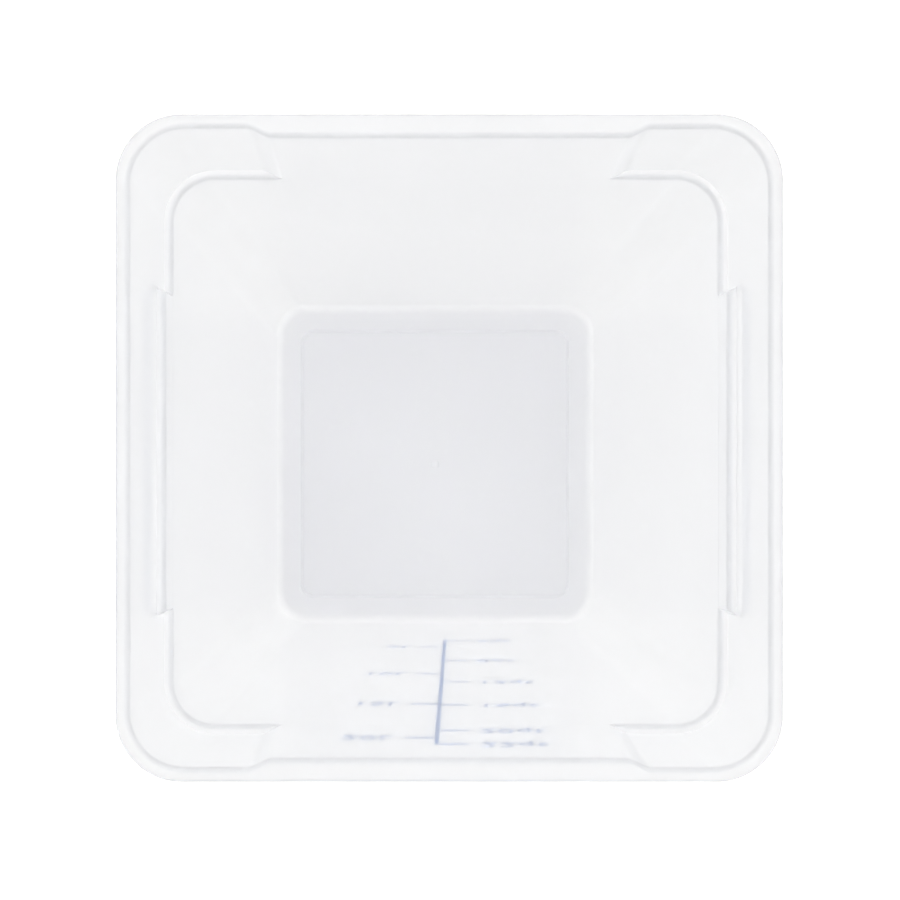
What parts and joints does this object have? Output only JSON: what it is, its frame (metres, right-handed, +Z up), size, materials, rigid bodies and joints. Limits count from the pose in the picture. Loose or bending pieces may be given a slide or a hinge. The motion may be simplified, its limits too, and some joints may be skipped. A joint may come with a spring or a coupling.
{
  "type": "square dough proofing tub",
  "caption": "Tall square translucent tub that tapers to its foot, with a flanged rim, corner shoulders, side grips and a printed volume scale.",
  "frame": {"origin": "middle of the foot, on the plane that the tub stands on", "axes": "+Z up to the open mouth, X from grip to grip, and the wall with the printed scale faces -Y"},
  "size_m": [0.286, 0.286, 0.4],
  "materials": {
    "milky_plastic": "satin, translucent",
    "printing_ink": "matt ink"
  },
  "bodies": {
    "root": {"container_body": "milky_plastic", "quart_scale": "printing_ink", "litre_scale": "printing_ink"}
  },
  "joints": []
}
